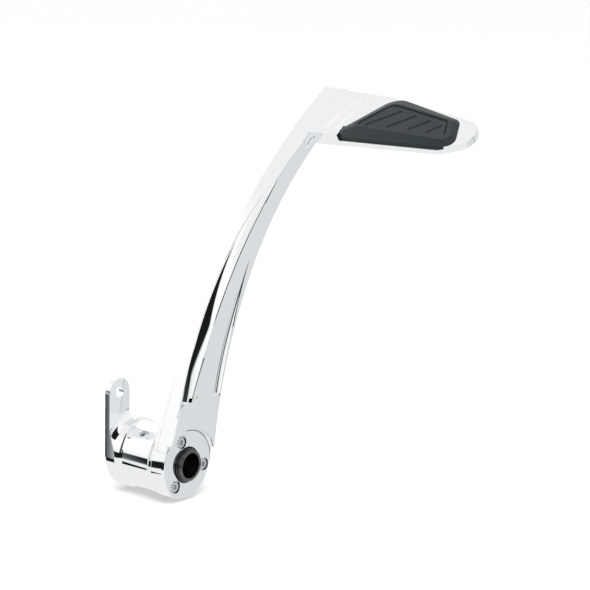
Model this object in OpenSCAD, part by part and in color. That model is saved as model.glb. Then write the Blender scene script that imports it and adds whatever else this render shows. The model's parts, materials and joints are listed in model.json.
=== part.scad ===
// Motorcycle foot lever: a curved arm with a toe plate, turning on a pivot sleeve.
// Y runs along the pivot, towards the motorcycle. Z is up the linkage tab. X is the way the arm leans.
// The origin is on the pivot axis, in the hub's outer face.

/* [Show] */

// Which piece to draw

/* [Pivot] */

// Bore of the sleeve, for the pivot stud
sleeve_bore_d = 15.9; // [12:0.1:18]
// Outside diameter of the sleeve
sleeve_d = 20; // [18:0.5:22]
// How far the sleeve stands out of the hub face
sleeve_proud = 3.6; // [1:0.1:8]
// Radial running clearance between sleeve and bushes
running_gap = 0.05; // [0.02:0.01:0.1]
// Diameter of the hub disc
hub_d = 43.6; // [42:0.2:50]
// Thickness of the hub disc
hub_length = 10.5; // [8:0.5:16]
// Diameter of the round spot face that sinks the hub face into the arm
spot_face_d = 47; // [44:0.5:50]

/* [Barrel and linkage tab] */

// Diameter of the barrel
barrel_d = 41.6; // [38:0.2:46]
// Diameter of the rim at the back of the barrel
rim_d = 44.6; // [42:0.2:50]
// Distance from the hub face to the back of the barrel
barrel_end = 48.6; // [40:0.2:60]
// Thickness of the linkage tab
tab_thickness = 4.3; // [3:0.1:8]
// Width of the linkage tab
tab_width = 17.8; // [14:0.2:24]
// Height of the linkage hole above the pivot axis
tab_hole_height = 40.9; // [36:0.1:60]
// Diameter of the linkage hole
tab_hole_d = 7; // [6:0.1:10]

/* [Arm] */

// Radius of the arm's convex side
convex_r = 398; // [350:1:450]
// Radius of the arm's concave side
concave_r = 295.8; // [250:0.1:340]
// Thickness of the arm above the hub
arm_thickness = 11; // [9:0.5:14]
// How far the arm's outer face stands over the hub face
arm_proud = 3; // [1:0.1:5]
// How far the outer face eases outwards before it reaches the toe plate
bend_depth = 4; // [0:0.5:6]

/* [Toe plate and rubber] */

// Length of the toe plate, from the arm's outer face to its tip
plate_reach = 115.5; // [90:0.5:140]
// Thickness of the toe plate at the arm
plate_thickness = 10; // [8:0.1:14]
// Slope of the underside, which thins the plate towards its tip
plate_taper = 2.6; // [1:0.1:4]
// Height of the rubber above the toe plate
rubber_proud = 2.8; // [1:0.1:5]

/* [Screws] */

// Diameter of the circle of hub screws
screw_circle_d = 32; // [30:0.5:36]
// Diameter of a hub screw's head
head_d = 7; // [5:0.1:8.5]
// Diameter of the counterbore round a hub screw's head
counterbore_d = 8.7; // [7.5:0.1:9]

/* [Hidden] */

$fn = 96;
eps = 0.01;
chrome = [0.86, 0.87, 0.89];
black = [0.13, 0.13, 0.14];
bronze = [0.72, 0.52, 0.28];
steel = [0.62, 0.63, 0.66];
rubber = [0.20, 0.22, 0.23];

sleeve_r = sleeve_d / 2;
bush_r = sleeve_r + 1.5;
hub_r = hub_d / 2;
barrel_r = barrel_d / 2;
rim_r = rim_d / 2;
tab_front = barrel_end - tab_thickness;
tab_x = tab_width / 2 - rim_r;
tab_shoulder_r = 9;
bead_end = hub_length + 4;
bead_r = 2;
sleeve_end = barrel_end + 4.4;
washer_start = barrel_end + 0.3;
clip_start = barrel_end + 1.5;

screw_angles = [-18.9, 101.1, 221.1];
dowel_angles = [41.1, 161.1, 281.1];
head_height = 4;
head_sink = 0.25;
screw_length = 14;
thread_d = 4;
dowel_d = 4;
dowel_start = 5.5;
dowel_end = 18.5;
plug_angle = -35;
plug_y = 26.4;
plug_d = 5;
flat_depth = 0.22;

// Arm arcs: both sides touch the hub disc, so each centre follows from its radius and one angle
convex_start = 16.84;
concave_start = 4.38;
convex_c = (convex_r - hub_r) * [cos(convex_start), -sin(convex_start)];
concave_c = (concave_r + hub_r) * [cos(concave_start), -sin(concave_start)];
plate_start = 50.56;
plate_end = 56.5;
plate_angle = 53.5;
arm_back = arm_thickness - arm_proud;
root_angle = convex_start + 7.1;
outer_bend = 36;
bend_length = 100;
bend_steps = 4;
corner_flute_r = 10;
corner_flute_path = 189.7;
corner_flute_c = [163.3, -100.3, 25.8];
face_flute_r = 5;
face_flute_path = 329.9;
face_flute_c = [343.8, -29.3, -33.8];
// Round shoulder where the corner flute starts: [x, z, r]
shoulder = [5.9, 20.8, 21.9];

// Toe plate frame: x up the plate's width, y along the pivot, z out of the plate's top face
plate_corner = convex_point(plate_start);
plate_tip_y = -arm_proud - plate_reach - 4;
pocket_floor = -4.6;
pocket_rise = 2.1;
pocket_start = -27.6;
tread_plate_t = 1.2;
rubber_lip = 0.3;
groove_r = 5;
groove_depth = 0.9;
pad_screw_y = [-48, -84];
pad_screw_x = 14;
pad_thread_d = 4;
pad_head_d = 7.6;
pad_head_h = 2.2;
pad_seat = 3.6;
tread_groove_r = 1.3;
edge_groove_w = 1.5;
edge_groove_depth = 0.9;

// Outlines as rounded corners, each [x, y, r], listed anticlockwise in the plate frame
PLATE_CORNERS = [[5, -102, 6], [14.4, plate_tip_y + 11.5, 11.5], [28, -52, 10], [39, 6.4, 2],
    [1.4, 6.4, 2.4]];
RUBBER_CORNERS = [[7.5, -106.2, 6], [18.4, -101, 7.2], [21.6, -57.6, 14.6], [3.7, -30.8, 3.2]];
TREAD_CORNERS = [[8.8, -104.4, 4.4], [18.1, -99.6, 4.4], [20.8, -57.8, 9.4], [9.2, -40, 2.5]];
GROOVE_CORNERS = [[9.2, -101.4, 2.2], [17.5, -98.2, 2.4], [20.4, -57.8, 7.2], [9.4, -42, 1.2]];

function convex_point(a) = convex_c + convex_r * [-cos(a), sin(a)];
function polar(r, a) = [r * sin(a), r * cos(a)];
// Height of the seat under a pad screw's head, in the plate frame
function pad_seat_z(y) = pad_seat - plate_thickness - y * tan(plate_taper);
function heading(a, b) = atan2(b[1] - a[1], b[0] - a[0]);
function gap(a, b) = norm([b[0] - a[0], b[1] - a[1]]);
function normal_angle(a, b) = heading(a, b) - 90 + asin((a[2] - b[2]) / gap(a, b));
function touch(c, angle) = [c[0] + c[2] * cos(angle), c[1] + c[2] * sin(angle)];

// A flat shape drawn in X and Z, standing from y0 to y1
module along_y(y0, y1) {
    translate([0, y1, 0])
        rotate([90, 0, 0])
            linear_extrude(y1 - y0)
                children();
}

// A profile drawn in radius and Y, turned about the pivot axis
module turned() {
    rotate([-90, 0, 0])
        rotate_extrude($fn = 128)
            children();
}

// A round bar or hole along the pivot direction
module bar(x, z, r, y0, y1) {
    translate([x, y0, z])
        rotate([-90, 0, 0])
            cylinder(r = r, h = y1 - y0);
}

module tube(outer, inner, y0, y1, chamfer = 0.4) {
    turned()
        polygon([[inner, y0], [outer - chamfer, y0], [outer, y0 + chamfer], [outer, y1 - chamfer],
            [outer - chamfer, y1], [inner, y1]]);
}

// A convex outline round a list of corner circles
module rounded(corners) {
    last = len(corners) - 1;
    for (c = corners)
        translate([c[0], c[1]])
            circle(r = c[2]);
    polygon([for (i = [0 : last], end = [0, 1])
        let (a = corners[i], b = corners[i < last ? i + 1 : 0])
            touch(end == 0 ? a : b, normal_angle(a, b))]);
}

module plate_frame() {
    translate([plate_corner[0], 0, plate_corner[1]])
        rotate([0, plate_angle - 90, 0])
            children();
}

// ---- pivot ----

module pivot_sleeve() {
    color(black)
        difference() {
            turned()
                polygon([[sleeve_bore_d / 2, -sleeve_proud], [sleeve_r - 0.9, -sleeve_proud],
                    [sleeve_r, -sleeve_proud + 0.9], [sleeve_r, -0.9], [sleeve_r + 0.9, -0.9],
                    [sleeve_r + 0.9, -0.3], [sleeve_r, -0.3], [sleeve_r, clip_start - 0.05],
                    [sleeve_r - 0.7, clip_start - 0.05], [sleeve_r - 0.7, clip_start + 1.25],
                    [sleeve_r, clip_start + 1.25], [sleeve_r, sleeve_end - 0.6],
                    [sleeve_r - 0.6, sleeve_end], [sleeve_bore_d / 2, sleeve_end]]);
            // Lead-in at each end of the bore
            turned()
                polygon([[0, -sleeve_proud - eps], [sleeve_bore_d / 2 + 0.4, -sleeve_proud - eps],
                    [sleeve_bore_d / 2 - eps, -sleeve_proud + 0.4], [0, -sleeve_proud + 0.4]]);
            turned()
                polygon([[0, sleeve_end + eps], [sleeve_bore_d / 2 + 0.4, sleeve_end + eps],
                    [sleeve_bore_d / 2 - eps, sleeve_end - 0.4], [0, sleeve_end - 0.4]]);
        }
}

module thrust_washer() {
    color(steel)
        tube(14.5, sleeve_r + running_gap, washer_start, clip_start, 0.2);
}

// External circlip: an eccentric ring with a gap and two lugs with plier holes
module circlip() {
    lug_r = 1.7;
    lug_x = 2.9;
    lug_z = sleeve_r + 1.5;
    color(steel)
        difference() {
            union() {
                bar(0, -0.5, sleeve_r + 1.5, clip_start, clip_start + 1.2);
                for (side = [-1, 1])
                    bar(side * lug_x, lug_z, lug_r, clip_start, clip_start + 1.2);
            }
            bar(0, 0, sleeve_r - 0.65, clip_start - 1, clip_start + 2);
            translate([-1.3, clip_start - 1, 0])
                cube([2.6, 3, 20]);
            for (side = [-1, 1])
                bar(side * lug_x, lug_z, 0.8, clip_start - 1, clip_start + 2);
        }
}

module front_bush() {
    color(bronze)
        tube(bush_r, sleeve_r + running_gap, 4.2, 20);
}

module rear_bush() {
    color(bronze)
        tube(bush_r, sleeve_r + running_gap, 31, 44.4);
}

module seal(y) {
    section_r = (bush_r - sleeve_r - running_gap) / 2;
    color(rubber)
        turned()
            translate([bush_r - section_r, y])
                circle(r = section_r, $fn = 48);
}

module front_seal() {
    seal(2.2);
}

module rear_seal() {
    seal(46.45);
}

// ---- barrel and linkage tab ----

// The tab's outline: a straight ear, flush with the rim on its outer side
module tab_shape() {
    translate([tab_x, tab_hole_height])
        circle(d = tab_width);
    translate([tab_x - tab_width / 2, 0])
        square([tab_width, tab_hole_height]);
}

// Solid of the big fillet that rises from the barrel to the tab's face
module tab_fillet() {
    start = tab_front - tab_shoulder_r;
    arc_r = barrel_r + tab_shoulder_r;
    difference() {
        turned()
            polygon([[0, start], [arc_r, start], [arc_r, barrel_end], [0, barrel_end]]);
        turned()
            translate([arc_r, start])
                circle(r = tab_shoulder_r);
        turned()
            polygon([[arc_r - eps, start - 1], [arc_r + 20, start - 1], [arc_r + 20, tab_front],
                [arc_r - eps, tab_front]]);
    }
}

module barrel_solid() {
    turned()
        polygon([[0, hub_length], [hub_r - bead_r, hub_length], [hub_r - bead_r, bead_end],
            [barrel_r, bead_end], [barrel_r, barrel_end - 1], [0, barrel_end - 1]]);
    turned()
        translate([hub_r - bead_r, hub_length + bead_r])
            circle(r = bead_r);
    // Rim, cut out of the fillet's solid and of a plain disc
    intersection() {
        tab_fillet();
        turned()
            polygon([[0, 20], [rim_r, 20], [rim_r, barrel_end - 0.8], [rim_r - 0.8, barrel_end],
                [0, barrel_end]]);
    }
    // Tab with its fillet
    intersection() {
        union() {
            tab_fillet();
            along_y(tab_front, barrel_end)
                square(200, center = true);
        }
        along_y(tab_front - tab_shoulder_r, barrel_end)
            tab_shape();
    }
}

module pivot_barrel() {
    plug_dir = polar(1, plug_angle);
    color(chrome)
        difference() {
            barrel_solid();
            bar(0, 0, bush_r, hub_length - 1, barrel_end + 1);
            // Linkage hole
            bar(tab_x, tab_hole_height, tab_hole_d / 2, tab_front - 1, barrel_end + 1);
            // Spot-faced flat and port of the grease plug
            translate([0, plug_y, 0])
                rotate([0, plug_angle, 0]) {
                    translate([0, 0, barrel_r - flat_depth])
                        cylinder(r = 8, h = 10);
                    cylinder(d = plug_d, h = 40);
                }
            for (a = screw_angles)
                bar(polar(screw_circle_d / 2, a)[0], polar(screw_circle_d / 2, a)[1], thread_d / 2,
                    hub_length - 1, head_sink + head_height + screw_length + 2);
            for (a = dowel_angles)
                bar(polar(screw_circle_d / 2, a)[0], polar(screw_circle_d / 2, a)[1], dowel_d / 2,
                    hub_length - 1, dowel_end + 0.4);
        }
}

module grease_plug() {
    socket_d = 2.9;
    top = barrel_r - flat_depth - 0.6;
    color(steel)
        translate([0, plug_y, 0])
            rotate([0, plug_angle, 0])
                difference() {
                    translate([0, 0, top - 6])
                        cylinder(d = plug_d, h = 6);
                    translate([0, 0, top - 3])
                        cylinder(d = socket_d, h = 4, $fn = 6);
                }
}

// ---- screws and dowels ----

module hub_screw() {
    top = head_sink;
    socket_d = 3 / cos(30);
    difference() {
        union() {
            turned()
                polygon([[0, top], [head_d / 2 - 0.5, top], [head_d / 2, top + 0.5],
                    [head_d / 2, top + head_height], [0, top + head_height]]);
            bar(0, 0, thread_d / 2, top + head_height - 0.5, top + head_height + screw_length);
        }
        bar(0, 0, socket_d / 2, top - 1, top + 2.2, $fn = 6);
        turned()
            polygon([[0, top - eps], [socket_d / 2 + 0.1, top - eps], [0, top + 1]]);
    }
}

// Children at these angles on the screws' circle
module at_angles(angles) {
    for (a = angles)
        translate([polar(screw_circle_d / 2, a)[0], 0, polar(screw_circle_d / 2, a)[1]])
            children();
}

module hub_screws() {
    color(steel)
        at_angles(screw_angles)
            hub_screw();
}

module hub_dowels() {
    color(steel)
        at_angles(dowel_angles)
            tube(dowel_d / 2, 0, dowel_start, dowel_end, 0.3);
}

// ---- arm and toe plate ----

// The arm's outline between its two arcs
module arm_shape() {
    difference() {
        intersection() {
            translate(convex_c)
                circle(r = convex_r, $fn = 720);
            polygon([[0, 0], 60 * [-cos(convex_start), sin(convex_start)], [-60, 250], [150, 330],
                [260, 150], 60 * [cos(concave_start), -sin(concave_start)]]);
        }
        translate(concave_c)
            circle(r = concave_r, $fn = 720);
        // Flat under the foot, in line with the toe plate
        translate(plate_corner)
            rotate(90 - plate_angle)
                square([100, 50]);
        // Square end, across the arm
        translate(convex_point(plate_end))
            rotate(90 - plate_end)
                translate([0, -100])
                    square(200);
    }
}

// A side profile, drawn along the arm and Y from a point on the convex side, and extruded across the arm
module across(a) {
    start = convex_point(a);
    translate([start[0], 0, start[1]])
        rotate([0, a - 90, 0])
            translate([0, 0, -150])
                linear_extrude(300)
                    children();
}

// Side profile of the outer face: flat over the hub, then easing outwards to the toe plate
module outer_profile() {
    polygon([[-150, -arm_proud],
        for (i = [0 : bend_steps])
            [i * bend_length / bend_steps, -arm_proud - bend_depth * pow(i / bend_steps, 2)],
        [300, -arm_proud - bend_depth * 5], [300, 28], [-150, 28]]);
}

// Side profile of the back: the step behind the hub has a sloping face
module back_profile() {
    polygon([[-150, -40], [-150, hub_length], [0, hub_length], [3, arm_back], [300, arm_back], [300, -40]]);
}

module arm_solid() {
    intersection() {
        along_y(-12, hub_length)
            arm_shape();
        across(outer_bend)
            outer_profile();
        across(root_angle)
            back_profile();
    }
}

// A long flute: a ring whose tube is sunk into the arm along a leaning circle
module flute(centre, spin, lean, path_r, tube_r) {
    translate(centre)
        rotate([0, lean, spin])
            rotate_extrude($fn = 720)
                translate([path_r, 0])
                    circle(r = tube_r, $fn = 64);
}

// The flute along the corner of convex side and outer face; it stops at the hub's round shoulder
module corner_flute() {
    difference() {
        union() {
            flute(corner_flute_c, 64, 105.3, corner_flute_path, corner_flute_r);
            translate([-2, -11.4, 53])
                rotate([0, 23.5, 0])
                    translate([0, 0, -40])
                        cylinder(h = 40, r = corner_flute_r, $fn = 64);
        }
        bar(shoulder[0], shoulder[1], shoulder[2], -20, 10);
    }
}

// The narrow flute in the outer face, next to the concave side
module face_flute() {
    intersection() {
        flute(face_flute_c, 86.2, 90.8, face_flute_path, face_flute_r);
        translate([19, -20, 36])
            rotate([0, -35, 0])
                cube([200, 40, 120]);
    }
}

module hub_disc() {
    edge = 1.6;
    turned() {
        polygon([[0, 0], [hub_r - edge, 0], [hub_r - edge, edge], [hub_r, edge], [hub_r, hub_length],
            [0, hub_length]]);
        translate([hub_r - edge, edge])
            circle(r = edge);
    }
}

// The toe plate, flat on top and thinned towards its tip below
module toe_plate() {
    plate_frame()
        difference() {
            translate([0, 0, -16])
                linear_extrude(16)
                    rounded(PLATE_CORNERS);
            translate([-50, 0, -plate_thickness])
                rotate([-plate_taper, 0, 0])
                    translate([0, -200, -60])
                        cube([150, 260, 60]);
        }
}

// Pocket for the rubber, open towards the near edge, with a floor that rises towards the tip
module rubber_pocket() {
    intersection() {
        translate([0, 0, -20])
            linear_extrude(40) {
                rounded(RUBBER_CORNERS);
                translate([-10, -107.5])
                    square([18, 79.9]);
            }
        translate([-20, pocket_start, pocket_floor])
            rotate([-pocket_rise, 0, 0])
                translate([0, -150, 0])
                    cube([100, 200, 60]);
    }
}

// Shallow arcs beside the rubber
module plate_grooves() {
    for (path_r = [51.6, 59.2])
        translate([2, -73.5, groove_r - groove_depth])
            rotate([0, 0, 56])
                rotate_extrude(angle = 31, $fn = 240)
                    translate([path_r, 0])
                        circle(r = groove_r, $fn = 48);
}

module lever_arm() {
    color(chrome)
        difference() {
            union() {
                difference() {
                    arm_solid();
                    corner_flute();
                    face_flute();
                }
                toe_plate();
                hub_disc();
            }
            // Spot face, bush seat and seal room
            bar(0, 0, spot_face_d / 2, -30, 0);
            bar(0, 0, bush_r, -1, hub_length + 1);
            at_angles(screw_angles) {
                bar(0, 0, counterbore_d / 2, -1, head_sink + head_height);
                bar(0, 0, thread_d / 2 + 0.2, 0, hub_length + 1);
            }
            at_angles(dowel_angles)
                bar(0, 0, dowel_d / 2, dowel_start - 0.4, hub_length + 1);
            plate_frame() {
                rubber_pocket();
                plate_grooves();
                for (y = pad_screw_y)
                    translate([pad_screw_x, y, -30]) {
                        cylinder(d = pad_thread_d + 0.4, h = 40);
                        cylinder(d = pad_head_d + 1, h = 30 + pad_seat_z(y));
                    }
            }
        }
}

// ---- rubber tread ----

// A straight groove with round ends, cut into the tread from above
module tread_groove(a, b) {
    length = norm(b - a);
    translate([a[0], a[1], rubber_proud + 0.5])
        rotate([0, 0, atan2(b[1] - a[1], b[0] - a[0])])
            rotate([0, 90, 0]) {
                cylinder(r = tread_groove_r, h = length, $fn = 32);
                sphere(r = tread_groove_r, $fn = 32);
                translate([0, 0, length])
                    sphere(r = tread_groove_r, $fn = 32);
            }
}

// Groove round the tread, open towards the near edge
module perimeter_groove() {
    difference() {
        translate([0, 0, rubber_proud - edge_groove_depth])
            linear_extrude(2)
                difference() {
                    rounded([for (c = GROOVE_CORNERS) [c[0], c[1], c[2] + edge_groove_w]]);
                    rounded(GROOVE_CORNERS);
                }
        translate([-20, -140, 0])
            cube([28.6, 120, 20]);
    }
}

module pad_rubber() {
    color(rubber)
        plate_frame()
            difference() {
                union() {
                    intersection() {
                        translate([0, 0, -20])
                            linear_extrude(20 + rubber_lip)
                                rounded(RUBBER_CORNERS);
                        translate([-20, pocket_start, pocket_floor])
                            rotate([-pocket_rise, 0, 0])
                                translate([0, -150, 0])
                                    cube([100, 200, 60]);
                    }
                    // Raised top: a steep shoulder up to a flat tread
                    hull() {
                        translate([0, 0, -0.5])
                            linear_extrude(0.5 + rubber_lip)
                                rounded([for (c = RUBBER_CORNERS) [c[0], c[1], c[2] - 0.3]], $fn = 32);
                        translate([0, 0, rubber_proud - 0.4])
                            linear_extrude(0.4)
                                rounded(TREAD_CORNERS, $fn = 32);
                    }
                }
                tread_groove([9, -46], [23.6, -63.8]);
                tread_groove([9.5, -62.5], [21, -76]);
                tread_groove([9.5, -78], [18.6, -88.3]);
                tread_groove([9.3, -92], [15.4, -98.2]);
                perimeter_groove();
                // Room for the moulded-in plate
                tread_pocket();
            }
}

module tread_plate_shape() {
    translate([6, -pocket_start - 96])
        square([16, 54]);
}

// The moulded-in plate lies on the pocket's floor
module tread_pocket() {
    translate([0, pocket_start, pocket_floor])
        rotate([-pocket_rise, 0, 0])
            translate([0, 0, -eps])
                linear_extrude(tread_plate_t + eps)
                    tread_plate_shape();
}

module pad_plate() {
    color(steel)
        difference() {
            plate_frame()
                translate([0, pocket_start, pocket_floor])
                    rotate([-pocket_rise, 0, 0])
                        linear_extrude(tread_plate_t)
                            tread_plate_shape();
            plate_frame()
                for (y = pad_screw_y)
                    translate([pad_screw_x, y, -30])
                        cylinder(d = pad_thread_d, h = 60);
        }
}

module pad_screws() {
    color(steel)
        plate_frame()
            for (y = pad_screw_y)
                translate([pad_screw_x, y, pad_seat_z(y)])
                    difference() {
                        union() {
                            translate([0, 0, -pad_head_h])
                                cylinder(d = pad_head_d, h = pad_head_h);
                            cylinder(d = pad_thread_d, h = 3.6);
                        }
                        translate([0, 0, -3])
                            cylinder(d = 2.5 / cos(30), h = 2.2, $fn = 6);
                    }
}

pivot_sleeve();
thrust_washer();
circlip();
front_bush();
rear_bush();
front_seal();
rear_seal();
lever_arm();
pivot_barrel();
hub_screws();
hub_dowels();
grease_plug();
pad_rubber();
pad_plate();
pad_screws();
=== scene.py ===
import json
from math import cos, hypot, pi, radians, sin, tan

import bmesh
import bpy
import numpy as np
from mathutils import Matrix, Vector


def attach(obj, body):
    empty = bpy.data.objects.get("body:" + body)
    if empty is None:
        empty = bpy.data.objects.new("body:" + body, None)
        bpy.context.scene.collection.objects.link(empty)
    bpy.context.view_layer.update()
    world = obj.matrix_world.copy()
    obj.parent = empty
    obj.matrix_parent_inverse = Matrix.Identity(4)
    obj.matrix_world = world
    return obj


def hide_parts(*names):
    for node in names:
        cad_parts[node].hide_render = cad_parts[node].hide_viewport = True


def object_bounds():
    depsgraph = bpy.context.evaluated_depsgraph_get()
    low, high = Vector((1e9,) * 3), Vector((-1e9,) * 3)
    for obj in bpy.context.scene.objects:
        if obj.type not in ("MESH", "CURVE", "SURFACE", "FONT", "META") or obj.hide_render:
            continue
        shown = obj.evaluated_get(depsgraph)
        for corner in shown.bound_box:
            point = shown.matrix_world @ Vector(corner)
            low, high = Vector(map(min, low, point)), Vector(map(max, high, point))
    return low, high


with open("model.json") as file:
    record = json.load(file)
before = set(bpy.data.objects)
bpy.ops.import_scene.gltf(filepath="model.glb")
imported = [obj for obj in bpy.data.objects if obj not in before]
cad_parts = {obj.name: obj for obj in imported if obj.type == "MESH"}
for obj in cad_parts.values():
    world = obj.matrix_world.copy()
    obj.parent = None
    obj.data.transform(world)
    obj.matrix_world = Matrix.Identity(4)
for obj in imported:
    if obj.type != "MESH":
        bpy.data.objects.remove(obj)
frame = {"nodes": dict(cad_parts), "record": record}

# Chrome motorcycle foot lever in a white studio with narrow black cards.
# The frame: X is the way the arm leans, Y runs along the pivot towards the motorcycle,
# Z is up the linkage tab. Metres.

MM = 0.001
CAD_BOX = [[float(c) for c in corner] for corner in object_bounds()]
nodes = frame["nodes"]

# ---------------------------------------------------------------- view

VIEW_AZIMUTH = radians(-52.22)
VIEW_ELEVATION = radians(12.35)
VIEW_ROLL = radians(1.55)
VIEW_DISTANCE = 1.16
VIEW_TARGET = Vector((0.0090, -0.0737, 0.1174))
LENS_MM = 120.88
SENSOR_MM = 36.0


def make_camera():
    back = Vector((sin(VIEW_AZIMUTH) * cos(VIEW_ELEVATION),
                   -cos(VIEW_AZIMUTH) * cos(VIEW_ELEVATION), sin(VIEW_ELEVATION)))
    level = Vector((cos(VIEW_AZIMUTH), sin(VIEW_AZIMUTH), 0))
    up = back.cross(level)
    right = level * cos(VIEW_ROLL) + up * sin(VIEW_ROLL)
    up = back.cross(right)
    data = bpy.data.cameras.new("camera")
    data.lens, data.sensor_width = LENS_MM, SENSOR_MM
    camera = bpy.data.objects.new("camera", data)
    camera.matrix_world = Matrix.Translation(VIEW_TARGET + back * VIEW_DISTANCE) @ Matrix(
        (right, up, back)).transposed().to_4x4()
    bpy.context.scene.collection.objects.link(camera)
    bpy.context.scene.camera = camera


# ---------------------------------------------------------------- node helpers

class Nodes:
    """Short calls for building a node tree. A value is a number or an output socket."""

    def __init__(self, tree):
        self.tree = tree
        tree.nodes.clear()

    def add(self, kind, **settings):
        node = self.tree.nodes.new(kind)
        for name, value in settings.items():
            setattr(node, name, value)
        return node

    def feed(self, socket, value):
        if hasattr(value, "is_linked"):
            self.tree.links.new(value, socket)
        else:
            socket.default_value = value

    def math(self, operation, *values, clamp=False):
        node = self.add("ShaderNodeMath", operation=operation, use_clamp=clamp)
        for socket, value in zip(node.inputs, values):
            self.feed(socket, value)
        return node.outputs[0]

    def ramp(self, value, low, high, to_low=0.0, to_high=1.0):
        """Smooth step from to_low to to_high as value goes from low to high."""
        node = self.add("ShaderNodeMapRange", interpolation_type="SMOOTHSTEP")
        for name, v in (("Value", value), ("From Min", low), ("From Max", high),
                        ("To Min", to_low), ("To Max", to_high)):
            self.feed(node.inputs[name], v)
        return node.outputs["Result"]

    def noise(self, coords, scale, detail=2.0, roughness=0.5):
        node = self.add("ShaderNodeTexNoise")
        self.feed(node.inputs["Vector"], coords)
        node.inputs["Scale"].default_value = scale
        node.inputs["Detail"].default_value = detail
        node.inputs["Roughness"].default_value = roughness
        return node.outputs["Fac"]

    def blend(self, factor, a, b):
        """Colour between a and b."""
        node = self.add("ShaderNodeMix", data_type="RGBA")
        self.feed(node.inputs[0], factor)
        self.feed(node.inputs[6], a)
        self.feed(node.inputs[7], b)
        return node.outputs[2]


def grey(value, tint=(1, 1, 1)):
    return tuple(value * t for t in tint) + (1,)


# ---------------------------------------------------------------- studio

CARD_DARK = 0.012
# Black cards round the set: degrees of azimuth from +Y towards +X, degrees of elevation.
# Each is a band along azimuth: (from, to, height at from, height at to, half height, soft edge, darkness).
# The last two have hard edges, so that the tab's side and the hub's side catch one each.
BANDS = (
    (-156, -48, -4, -3, 7.0, 2.5, 1.0),
    (150, 218, 4, 37.2, 8.5, 2.5, 1.0),
    (50, 98, -15, -17, 3.2, 1.5, 0.95),
    (136, 163, -11, -2, 4.6, 1.5, 0.95),
    (-46.9, -38, -16, -16, 9.0, 0.35, 1.0),
    (-60, -50.8, 6, 6, 6.5, 0.3, 1.0),
)
# Upright cards: (azimuth at the bottom, at the top, from, to elevation, half width, soft edge, darkness)
UPRIGHTS = (
    (-73, -62, 2, 64, 8.0, 3.0, 0.93),
)
CEILING_DIM, CEILING_FROM, CEILING_FULL = 0.86, 44, 50
WALL_DIM = 0.17


def band_mask(n, azimuth, elevation, band):
    start, end, low, high, half, soft, depth = band
    masks = []
    for turn in (-360, 0, 360):
        if start + turn > 180 or end + turn < -180:
            continue
        along = n.math("SUBTRACT", azimuth, start + turn)
        middle = n.math("MULTIPLY_ADD", along, (high - low) / (end - start), low)
        off = n.math("ABSOLUTE", n.math("SUBTRACT", elevation, middle))
        inside = n.ramp(off, half, half + soft, 1.0, 0.0)
        inside = n.math("MULTIPLY", inside, n.ramp(along, -soft, soft))
        inside = n.math("MULTIPLY", inside, n.ramp(along, end - start - soft, end - start + soft, 1.0, 0.0))
        masks.append(inside)
    mask = masks[0]
    for other in masks[1:]:
        mask = n.math("MAXIMUM", mask, other)
    return n.math("MULTIPLY", mask, depth)


def upright_mask(n, azimuth, elevation, card):
    bottom, top, low, high, half, soft, depth = card
    above = n.math("SUBTRACT", elevation, low)
    middle = n.math("MULTIPLY_ADD", above, (top - bottom) / (high - low), bottom)
    off = n.math("ABSOLUTE", n.math("SUBTRACT", azimuth, middle))
    inside = n.ramp(off, half, half + soft, 1.0, 0.0)
    inside = n.math("MULTIPLY", inside, n.ramp(elevation, low - soft, low + soft))
    inside = n.math("MULTIPLY", inside, n.ramp(elevation, high - soft, high + soft, 1.0, 0.0))
    return n.math("MULTIPLY", inside, depth)


def make_world():
    world = bpy.data.worlds.new("studio")
    world.use_nodes = True
    bpy.context.scene.world = world
    n = Nodes(world.node_tree)
    direction = n.add("ShaderNodeTexCoord").outputs["Generated"]
    split = n.add("ShaderNodeSeparateXYZ")
    n.feed(split.inputs[0], direction)
    x, y, z = split.outputs
    azimuth = n.math("MULTIPLY", n.math("ARCTAN2", x, y), 180 / pi)
    elevation = n.math("MULTIPLY", n.math("ARCSINE", z), 180 / pi)
    light = n.ramp(elevation, -25, 35, 0.93, 1.12)
    # The wall on the +X side is lit less
    side = n.math("MULTIPLY", n.ramp(azimuth, 40, 75), n.ramp(azimuth, 160, 185, 1.0, 0.0))
    light = n.math("MULTIPLY", light, n.math("SUBTRACT", 1.0, n.math("MULTIPLY", side, WALL_DIM)))
    for card in BANDS:
        light = n.math("MULTIPLY", light, n.math("SUBTRACT", 1.0, band_mask(n, azimuth, elevation, card)))
    for card in UPRIGHTS:
        shade = upright_mask(n, azimuth, elevation, card)
        light = n.math("MULTIPLY", light, n.math("SUBTRACT", 1.0, shade))
    # Dimmer overhead, which the toe plate's flat top shows
    light = n.math("MULTIPLY", light, n.ramp(elevation, CEILING_FROM, CEILING_FULL, 1.0, CEILING_DIM))
    light = n.math("MAXIMUM", light, CARD_DARK)
    background = n.add("ShaderNodeBackground")
    tint = n.blend(light, grey(1, (0.86, 0.97, 1.0)), grey(1, (0.995, 0.997, 1.0)))
    n.feed(background.inputs["Color"], tint)
    n.feed(background.inputs["Strength"], light)
    n.feed(n.add("ShaderNodeOutputWorld").inputs["Surface"], background.outputs[0])


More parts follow.
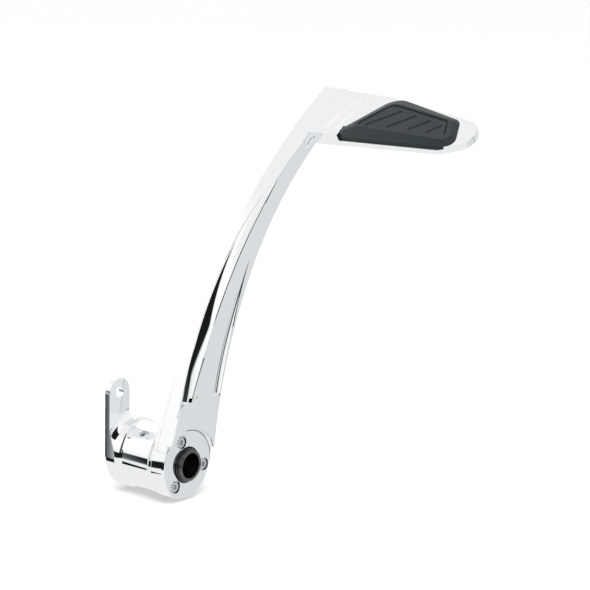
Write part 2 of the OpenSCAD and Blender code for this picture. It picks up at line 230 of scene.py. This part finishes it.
def make_floor():
    low = CAD_BOX[0][2] - 0.0005
    size = 9.0
    mesh = bpy.data.meshes.new("floor")
    mesh.from_pydata([(-size, -size, low), (size, -size, low), (size, size, low), (-size, size, low)],
                     [], [(0, 1, 2, 3)])
    floor = bpy.data.objects.new("floor", mesh)
    bpy.context.scene.collection.objects.link(floor)
    material = bpy.data.materials.new("white_floor")
    material.use_nodes = True
    n = Nodes(material.node_tree)
    coords = n.add("ShaderNodeTexCoord").outputs["Object"]
    shader = n.add("ShaderNodeBsdfPrincipled")
    n.feed(shader.inputs["Base Color"], n.blend(n.noise(coords, 3), grey(0.955), grey(0.975)))
    shader.inputs["Roughness"].default_value = 0.9
    shader.inputs["Specular IOR Level"].default_value = 0.1
    shader.inputs["Emission Color"].default_value = (1, 1, 1, 1)
    shader.inputs["Emission Strength"].default_value = 0.12
    n.feed(n.add("ShaderNodeOutputMaterial").inputs["Surface"], shader.outputs[0])
    mesh.materials.append(material)
    floor.visible_glossy = False


def make_lights():
    data = bpy.data.lights.new("softbox", "AREA")
    data.shape, data.size, data.energy = "DISK", 1.1, 14.0
    light = bpy.data.objects.new("softbox", data)
    place = Vector((-0.55, -0.35, 1.5))
    light.location = place
    light.rotation_euler = (place - VIEW_TARGET).to_track_quat("Z", "Y").to_euler()
    light.visible_glossy = False
    bpy.context.scene.collection.objects.link(light)


# ---------------------------------------------------------------- materials

def metal(name, colour, roughness, spread, grain=0.0, stretch=(1, 1, 1), wear=None, edge_r=0.2):
    """Metal with cloudy tone, uneven gloss, fine scratches and, with wear, brighter edges."""
    material = bpy.data.materials.new(name)
    material.use_nodes = True
    n = Nodes(material.node_tree)
    coords = n.add("ShaderNodeTexCoord").outputs["Object"]
    mapping = n.add("ShaderNodeMapping")
    n.feed(mapping.inputs["Vector"], coords)
    mapping.inputs["Scale"].default_value = stretch
    cloud = n.noise(coords, 55, 3)
    scratch = n.noise(mapping.outputs[0], 900, 4, 0.65)
    darker = tuple(c * (1 - spread) for c in colour)
    tone = n.blend(n.ramp(cloud, 0.3, 0.7), darker + (1,), tuple(colour) + (1,))
    if wear:
        pointy = n.add("ShaderNodeNewGeometry").outputs["Pointiness"]
        edge = n.math("MULTIPLY", n.ramp(pointy, 0.53, 0.62), n.ramp(cloud, 0.35, 0.6))
        tone = n.blend(edge, tone, tuple(wear) + (1,))
    shader = n.add("ShaderNodeBsdfPrincipled")
    shader.inputs["Metallic"].default_value = 1.0
    n.feed(shader.inputs["Base Color"], tone)
    gloss = n.math("MULTIPLY_ADD", n.ramp(scratch, 0.35, 0.75), roughness * 0.5, roughness * 0.75)
    n.feed(shader.inputs["Roughness"], n.math("MULTIPLY_ADD", cloud, roughness * 0.25, gloss))
    edges = n.add("ShaderNodeBevel", samples=6)
    edges.inputs["Radius"].default_value = edge_r * MM
    n.feed(shader.inputs["Normal"], edges.outputs[0])
    if grain:
        bump = n.add("ShaderNodeBump")
        n.feed(bump.inputs["Normal"], edges.outputs[0])
        bump.inputs["Strength"].default_value = grain
        bump.inputs["Distance"].default_value = 0.02 * MM
        n.feed(bump.inputs["Height"], scratch)
        n.feed(shader.inputs["Normal"], bump.outputs[0])
    n.feed(n.add("ShaderNodeOutputMaterial").inputs["Surface"], shader.outputs[0])
    return material


def rubber(name, colour, roughness, grain):
    """Moulded rubber: fine pebble, cloudy tone and a faint dusty bloom."""
    material = bpy.data.materials.new(name)
    material.use_nodes = True
    n = Nodes(material.node_tree)
    coords = n.add("ShaderNodeTexCoord").outputs["Object"]
    cloud = n.noise(coords, 70, 4)
    pebble = n.noise(coords, 2600, 3, 0.6)
    tone = n.blend(n.ramp(cloud, 0.3, 0.7), tuple(c * 0.86 for c in colour) + (1,), tuple(colour) + (1,))
    tone = n.blend(n.ramp(pebble, 0.62, 0.8, 0.0, 0.25), tone, tuple(c * 1.5 for c in colour) + (1,))
    shader = n.add("ShaderNodeBsdfPrincipled")
    n.feed(shader.inputs["Base Color"], tone)
    n.feed(shader.inputs["Roughness"], n.ramp(cloud, 0.2, 0.8, roughness * 0.9, roughness * 1.1))
    shader.inputs["Specular IOR Level"].default_value = 0.32
    shader.inputs["Sheen Weight"].default_value = 0.06
    shader.inputs["Sheen Roughness"].default_value = 0.5
    bump = n.add("ShaderNodeBump")
    bump.inputs["Strength"].default_value = grain
    bump.inputs["Distance"].default_value = 0.05 * MM
    n.feed(bump.inputs["Height"], pebble)
    n.feed(shader.inputs["Normal"], bump.outputs[0])
    n.feed(n.add("ShaderNodeOutputMaterial").inputs["Surface"], shader.outputs[0])
    return material


MATERIALS = {
    "chrome": metal("polished_chrome", (0.905, 0.912, 0.92), 0.018, 0.012,
                    edge_r=0.45),
    "black_oxide": metal("black_oxide_steel", (0.125, 0.13, 0.135), 0.30, 0.25, 0.35, (1, 4, 1),
                         wear=(0.28, 0.27, 0.26)),
    "screw_steel": metal("bright_screw_steel", (0.66, 0.67, 0.69), 0.07, 0.08, 0.15),
    "plain_steel": metal("ground_steel", (0.50, 0.51, 0.53), 0.24, 0.12, 0.4, (1, 6, 1)),
    "bronze": metal("machined_bronze", (0.62, 0.40, 0.18), 0.22, 0.18, 0.4, (1, 8, 1)),
    "seal_rubber": rubber("seal_rubber", (0.018, 0.018, 0.020), 0.45, 0.2),
    "tread_rubber": rubber("tread_rubber", (0.016, 0.024, 0.026), 0.50, 0.4),
}


def dress_cad():
    slots = {s["node"]: s["material_slot"] for s in frame["record"]["subparts"]}
    for name, o in nodes.items():
        material = MATERIALS[slots[name]]
        o.data.materials.clear()
        o.data.materials.append(material)


# ---------------------------------------------------------------- rubber tread
# Millimetres in this part. Plate frame: u up the toe plate's width, y along the pivot, z out of its top.

PLATE_ORIGIN = np.array([107.23, 0, 198.386])
PLATE_ANGLE = radians(53.5)
PLATE_U = np.array([sin(PLATE_ANGLE), 0, cos(PLATE_ANGLE)])
PLATE_N = np.array([-cos(PLATE_ANGLE), 0, sin(PLATE_ANGLE)])
# Outlines as rounded corners (u, y, r)
RUBBER_CORNERS = ((7.5, -106.2, 6), (18.4, -101, 7.2), (21.6, -57.6, 14.6), (3.7, -30.8, 3.2))
TREAD_CORNERS = ((8.8, -104.4, 4.4), (18.1, -99.6, 4.4), (20.8, -57.8, 9.4), (9.2, -40, 2.5))
GROOVE_CORNERS = ((9.2, -101.4, 2.2), (17.5, -98.2, 2.4), (20.4, -57.8, 7.2), (9.4, -42, 1.2))
TREAD_GROOVES = (((9, -46), (23.6, -63.8)), ((9.5, -62.5), (21, -76)),
                 ((9.5, -78), (18.6, -88.3)), ((9.3, -92), (15.4, -98.2)))
RUBBER_LIP, RUBBER_PROUD = 0.3, 2.8
EDGE_GROOVE_WIDTH, EDGE_GROOVE_DEPTH, EDGE_GROOVE_FROM = 1.5, 0.9, 8.6
TREAD_GROOVE_R, TREAD_GROOVE_RAISED = 1.3, 0.45
RIM_WIDTH = 0.25
# Share of the shoulder that is straight, before it rounds off to the top
STRAIGHT = 0.85
TREAD_ROWS, TREAD_COLUMNS, TREAD_END_ROWS = 560, 150, 40
TREAD_SHARP_ANGLE = radians(38)
POCKET_START, POCKET_FLOOR, POCKET_RISE = -27.6, -4.6, tan(radians(2.1))


def supports(corners, count=360):
    """Directions round a convex rounded outline and how far it reaches in each."""
    angles = np.arange(count) * 2 * pi / count
    n = np.stack([np.cos(angles), np.sin(angles)], 1)
    c = np.array(corners, float)
    return n, (n @ c[:, :2].T + c[:, 2]).max(1)


def outline_distance(corners, u, y):
    """Distance outside a rounded outline, negative inside it."""
    n, reach = supports(corners)
    points = np.stack([u.ravel(), y.ravel()], 1)
    return (points @ n.T - reach).max(1).reshape(u.shape)


def smooth(t):
    t = np.clip(t, 0, 1)
    return t * t * (3 - 2 * t)


def segment_distance(a, b, u, y):
    du, dy = b[0] - a[0], b[1] - a[1]
    t = np.clip(((u - a[0]) * du + (y - a[1]) * dy) / (du * du + dy * dy), 0, 1)
    return np.hypot(u - a[0] - t * du, y - a[1] - t * dy)


def tread_height(u, y):
    """The tread's top: a lip, a steep shoulder with soft edges, a flat crown and its grooves."""
    inside_base = np.maximum(-outline_distance(RUBBER_CORNERS, u, y) - RIM_WIDTH, 0)
    outside_top = np.maximum(outline_distance(TREAD_CORNERS, u, y), 0)
    t = inside_base / np.maximum(inside_base + outside_top, 1e-6)
    rest = 1 - STRAIGHT
    t = np.where(t < STRAIGHT, t, STRAIGHT + rest * np.sin((t - STRAIGHT) / rest * pi / 2) * 0.98)
    height = RUBBER_LIP + (RUBBER_PROUD - RUBBER_LIP) * t
    across = outline_distance(GROOVE_CORNERS, u, y) / EDGE_GROOVE_WIDTH
    ring = smooth(across * 4) * smooth((1 - across) * 4) * smooth((u - EDGE_GROOVE_FROM) / 0.6)
    cut = EDGE_GROOVE_DEPTH * ring
    for a, b in TREAD_GROOVES:
        d = segment_distance(a, b, u, y)
        round_cut = np.sqrt(np.maximum(TREAD_GROOVE_R ** 2 - d * d, 0)) - TREAD_GROOVE_RAISED
        cut = np.maximum(cut, smooth(round_cut / 0.5) * np.maximum(round_cut, 0))
    return height - cut


def mesh_piece(name, points, faces, body, slot, replaced=()):
    """A piece from points in millimetres, smooth apart from its corners."""
    mesh = bpy.data.meshes.new(name)
    mesh.from_pydata((np.asarray(points) * MM).tolist(), [], faces)
    mesh.polygons.foreach_set("use_smooth", [True] * len(mesh.polygons))
    mesh.set_sharp_from_angle(angle=TREAD_SHARP_ANGLE)
    mesh.materials.append(MATERIALS[slot])
    piece = bpy.data.objects.new(name, mesh)
    bpy.context.scene.collection.objects.link(piece)
    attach(piece, body)
    if replaced:
        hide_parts(*replaced)
    return piece


def make_tread():
    columns = TREAD_COLUMNS
    n, reach = supports(RUBBER_CORNERS, 1440)
    inset = 0.05
    low, high = -reach[np.argmin(n[:, 1])] + inset, reach[np.argmax(n[:, 1])] - inset
    y_rows = low + (high - low) * np.linspace(0, 1, TREAD_ROWS)
    # Closer rows at both ends, where the outline is narrow; rows that nearly coincide are dropped
    ends = 0.5 - 0.5 * np.cos(np.linspace(0, pi, TREAD_END_ROWS))
    y_rows = np.unique(np.concatenate([y_rows, low + 3 * ends, high - 3 * ends]))
    y_rows = y_rows[np.concatenate([[True], np.diff(y_rows) > 0.004])]
    right, left = n[:, 0] > 1e-6, n[:, 0] < -1e-6
    across = np.linspace(0, 1, columns)
    u, y = [], []
    for row in y_rows:
        u_high = ((reach[right] - n[right, 1] * row) / n[right, 0]).min()
        u_low = ((reach[left] - n[left, 1] * row) / n[left, 0]).max()
        u.append(u_low + (u_high - u_low) * across)
        y.append(np.full(columns, row))
    u, y = np.array(u), np.array(y)
    top = tread_height(u, y)
    floor = POCKET_FLOOR + (POCKET_START - y) * POCKET_RISE + 0.02
    points = []
    for z in (top, floor):
        points.append(PLATE_ORIGIN + u[..., None] * PLATE_U + y[..., None] * np.array([0, 1, 0])
                      + z[..., None] * PLATE_N)
    count = len(y_rows)
    total = count * columns

    def at(row, column, layer=0):
        return layer * total + row * columns + column

    faces = []
    for i in range(count - 1):
        for j in range(columns - 1):
            faces.append((at(i, j), at(i, j + 1), at(i + 1, j + 1), at(i + 1, j)))
            faces.append((at(i, j, 1), at(i + 1, j, 1), at(i + 1, j + 1, 1), at(i, j + 1, 1)))
    loop = [(0, j) for j in range(columns)] + [(i, columns - 1) for i in range(1, count)]
    loop += [(count - 1, j) for j in range(columns - 2, -1, -1)] + [(i, 0) for i in range(count - 2, 0, -1)]
    for a, b in zip(loop, loop[1:] + loop[:1]):
        faces.append((at(*b), at(*a), at(*a, 1), at(*b, 1)))
    mesh_piece("rubber_tread", np.concatenate([p.reshape(-1, 3) for p in points]), faces,
               "lever", "tread_rubber", ("pad_rubber",))


# ---------------------------------------------------------------- arm
# Millimetres in this part. s is the distance along the convex side from the hub, w the distance
# from the convex side towards the concave one, y the distance along the pivot.

HUB_R = 21.8
SPOT_R = 23.5
CONVEX_R, CONCAVE_R = 398.0, 295.8
CONVEX_START, CONCAVE_START = radians(16.84), radians(4.38)
ROOT_ANGLE, ARM_STOP = radians(17.6), radians(49.2)
CONVEX_C = (CONVEX_R - HUB_R) * np.array([cos(CONVEX_START), -sin(CONVEX_START)])
CONCAVE_C = (CONCAVE_R + HUB_R) * np.array([cos(CONCAVE_START), -sin(CONCAVE_START)])
SHOULDER_C, SHOULDER_R = np.array([13.7, 5.25]), 36.8
FACE_Y, BACK_Y = -3.0, 7.97
BEND_START, BEND_LENGTH, BEND_DEPTH = radians(36), 100.0, 4.0
EDGE = 0.28
SHOULDER_RAMP = 1.3
SIDE_Y = 6.5
# The arm's middle is cut out down to CUT_R and the lofted one starts at CORE_R
CUT_R, CORE_R = 22.0, 21.55
SHARP_ANGLE = radians(24)
PROUD = 0.02


def arc_s(angle):
    return CONVEX_R * (angle - CONVEX_START)


def smooth_curve(*points):
    """A smooth curve, cubic or quartic, near a few (s, value) points."""
    s, v = np.array(points, float).T
    return np.poly1d(np.polyfit(s, v, min(4, len(points) - 1)))


# Flute along the corner: how deep it cuts into the convex side, and how far into the face
SIDE_CUT = smooth_curve((15, -2.0), (60, 0.2), (105, 2.7), (135, 3.2), (170, 0.3), (200, -5.0))
FACE_CUT = smooth_curve((15, 7.2), (60, 7.2), (95, 5.4), (135, 3.6), (170, 2.2), (200, 0.0))
CORNER_TIP = 200.0
CORNER_ARC = 15.0
# Flute in the face: its two edges
FLUTE_LEFT = smooth_curve((45, 27.9), (75, 22.0), (107, 17.0), (148, 11.8))
FLUTE_RIGHT = smooth_curve((45, 33.2), (75, 27.8), (107, 21.0), (148, 11.9))
FLUTE_TIP = 147.5
FACE_ARC = 4.0


def face_y(s):
    t = np.clip((s - arc_s(BEND_START)) / BEND_LENGTH, 0, 1)
    return FACE_Y - BEND_DEPTH * t * t


def width(angle):
    """The arm's width across, from the convex to the concave side."""
    p = CONVEX_C + CONVEX_R * np.array([-cos(angle), sin(angle)]) - CONCAVE_C
    n = np.array([cos(angle), -sin(angle)])
    b = p @ n
    return -b - (b * b - p @ p + CONCAVE_R ** 2) ** 0.5


def arm_point(angle, w, y):
    r = CONVEX_R - w
    return np.array([CONVEX_C[0] - r * cos(angle), y, CONVEX_C[1] + r * sin(angle)])


def hollow(a, b, radius, count):
    """Points of a hollow arc from a to b in (w, y), bulging into the metal."""
    a, b = np.array(a, float), np.array(b, float)
    chord = b - a
    c = max(hypot(*chord), 1e-6)
    inward = np.array([-chord[1], chord[0]]) / c
    radius = max(radius, c * 0.52)
    half = c / 2
    drop = (radius * radius - half * half) ** 0.5
    points = []
    for t in np.linspace(0, 1, count):
        x = (t - 0.5) * c
        points.append(a + chord * t + inward * ((radius * radius - x * x) ** 0.5 - drop))
    return points


def front_section(angle, fluted):
    """The front half of the arm's section in (w, y), from the convex side round to the concave one."""
    s = arc_s(angle)
    w0, wide, yf = -PROUD, width(angle) + PROUD, face_y(s)
    side_cut = face_cut = 0.0
    if fluted and s < CORNER_TIP:
        fade = min(1.0, (CORNER_TIP - s) / 12)
        side_cut = max(SIDE_CUT(s) - yf, 0.0) * fade
        face_cut = max(FACE_CUT(s), 0.0) * fade
    left, right = FLUTE_LEFT(s), FLUTE_RIGHT(s)
    if s > FLUTE_TIP:
        tip_width = width(CONVEX_START + FLUTE_TIP / CONVEX_R)
        left = right = FLUTE_LEFT(FLUTE_TIP) * (width(angle) - 3) / (tip_width - 3)
    a, b = np.array([w0, yf + side_cut]), np.array([w0 + face_cut, yf])
    chord = b - a
    c = hypot(*chord)
    if c < 4 * EDGE:
        a, b = np.array([w0, yf + 1.2 * EDGE]), np.array([w0 + 1.2 * EDGE, yf])
        arc = [a + (b - a) * t for t in np.linspace(0, 1, 24)]
    else:
        arc = hollow(a, b, CORNER_ARC, 24)
        # Soften both rims of the flute
        arc[0] = arc[0] + np.array([0, EDGE])
        arc[-1] = arc[-1] + np.array([EDGE, 0])
    points = [np.array([w0, SIDE_Y + (arc[0][1] - SIDE_Y) * t]) for t in (0, 0.35, 0.7)] + arc
    start, stop = arc[-1][0], min(max(left, arc[-1][0] + 0.3), wide - 1.5)
    points += [np.array([start + (stop - start) * t, yf]) for t in (0.2, 0.4, 0.6, 0.8)]
    stop2 = min(max(right, stop), wide - 0.8)
    if fluted and stop2 - stop > 0.3:
        groove = hollow((stop, yf), (stop2, yf), FACE_ARC, 18)
    else:
        groove = [np.array([stop + (stop2 - stop) * t, yf]) for t in np.linspace(0, 1, 18)]
    groove[0] = groove[0] - np.array([EDGE * 0.6, 0])
    groove[-1] = groove[-1] + np.array([EDGE * 0.6, 0])
    points += groove
    start = groove[-1][0]
    points += [np.array([start + (wide - EDGE - start) * t, yf]) for t in (0.5, 1.0)]
    points += [np.array([wide, (yf + EDGE) * (1 - t)]) for t in (0, 0.35, 0.7, 1.0)]
    return points


def shoulder_lift(angle, w):
    """0 on the round plateau next to the hub, 1 where the flutes have their full depth."""
    x, _, z = arm_point(angle, w, 0)
    return smooth((hypot(x - SHOULDER_C[0], z - SHOULDER_C[1]) - SHOULDER_R + 0.2) / SHOULDER_RAMP)


def arm_section(angle):
    """The whole closed section at one angle along the arm, as points in the part's frame."""
    loop = []
    for plain, fluted in zip(front_section(angle, False), front_section(angle, True)):
        b = shoulder_lift(angle, fluted[0])
        w, y = plain * (1 - b) + fluted * b
        loop.append(arm_point(angle, w, y))
    wide = width(angle) + PROUD
    return loop + [arm_point(angle, wide, BACK_Y), arm_point(angle, -PROUD, BACK_Y)]


def block_section(angle):
    """A plain section that holds all of the arm in front of its back face."""
    low, high = -3, width(angle) + 3
    front, back = -12, BACK_Y - 0.02
    corners = ((low, back), (low, front), (high, front), (high, back))
    return [arm_point(angle, w, y) for w, y in corners]


def loft(name, sections):
    """A closed solid through sections of equal point counts."""
    count = len(sections[0])
    points = [p for section in sections for p in section]
    faces = []
    for start in range(0, (len(sections) - 1) * count, count):
        for k in range(count):
            a, b = start + k, start + (k + 1) % count
            faces.append((a, b, b + count, a + count))
    faces.append(tuple(range(count))[::-1])
    faces.append(tuple(range((len(sections) - 1) * count, len(sections) * count)))
    return solid(name, np.array(points) * MM, faces)


def drum(name, radius, low, high, sides=360):
    """A round solid on the pivot axis."""
    a = np.arange(sides) * 2 * pi / sides
    rings = [np.stack([radius * np.sin(a), np.full(sides, y), radius * np.cos(a)], 1) for y in (low, high)]
    return loft(name, [list(ring) for ring in rings])


def solid(name, points, faces):
    mesh = bpy.data.meshes.new(name)
    mesh.from_pydata([tuple(map(float, p)) for p in points], [], faces)
    work = bmesh.new()
    work.from_mesh(mesh)
    bmesh.ops.remove_doubles(work, verts=work.verts, dist=1e-6)
    bmesh.ops.recalc_face_normals(work, faces=work.faces)
    work.to_mesh(mesh)
    work.free()
    return link(bpy.data.objects.new(name, mesh))


def link(o):
    bpy.context.scene.collection.objects.link(o)
    return o


def combine(base, tool, operation):
    """Boolean of two solids into base, and the tool is gone."""
    modifier = base.modifiers.new("combine", "BOOLEAN")
    modifier.operation, modifier.solver, modifier.object = operation, "EXACT", tool
    modifier.use_hole_tolerant = True
    bpy.context.view_layer.update()
    result = bpy.data.meshes.new_from_object(base.evaluated_get(bpy.context.evaluated_depsgraph_get()))
    base.modifiers.clear()
    base.data = result
    bpy.data.objects.remove(tool)
    return base


def make_arm():
    cad = nodes["lever_arm"]
    cad_points = [cad.matrix_world @ v.co for v in cad.data.vertices]
    arm = solid("arm_shell", cad_points, [tuple(f.vertices) for f in cad.data.polygons])
    block_angles = np.linspace(ROOT_ANGLE, ARM_STOP, 90)
    block = loft("block", [block_section(a) for a in block_angles])
    combine(block, drum("inner", CUT_R, -30, 30), "DIFFERENCE")
    combine(arm, block, "DIFFERENCE")
    # Close rows across the shoulder, wider ones beyond it
    angles = np.concatenate([np.linspace(ROOT_ANGLE, radians(24), 200),
                             np.linspace(radians(24.15), ARM_STOP, 190)])
    fine = loft("fine", [arm_section(a) for a in angles])
    combine(fine, drum("spot", SPOT_R, -30, 0), "DIFFERENCE")
    combine(fine, drum("core", CORE_R, -1, 30), "DIFFERENCE")
    finish_arm_piece(fine, "arm_flutes")
    finish_arm_piece(arm, "arm_shell")
    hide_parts("lever_arm")


def finish_arm_piece(piece, name):
    piece.name = name
    mesh = piece.data
    mesh.validate()
    mesh.polygons.foreach_set("use_smooth", [True] * len(mesh.polygons))
    mesh.set_sharp_from_angle(angle=SHARP_ANGLE)
    mesh.materials.clear()
    mesh.materials.append(MATERIALS["chrome"])
    piece.modifiers.new("weighted", "WEIGHTED_NORMAL").keep_sharp = True
    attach(piece, "lever")


# ---------------------------------------------------------------- scene

make_camera()
make_world()
make_floor()
make_lights()
dress_cad()
make_tread()
make_arm()
bpy.context.scene.view_settings.view_transform = "Standard"
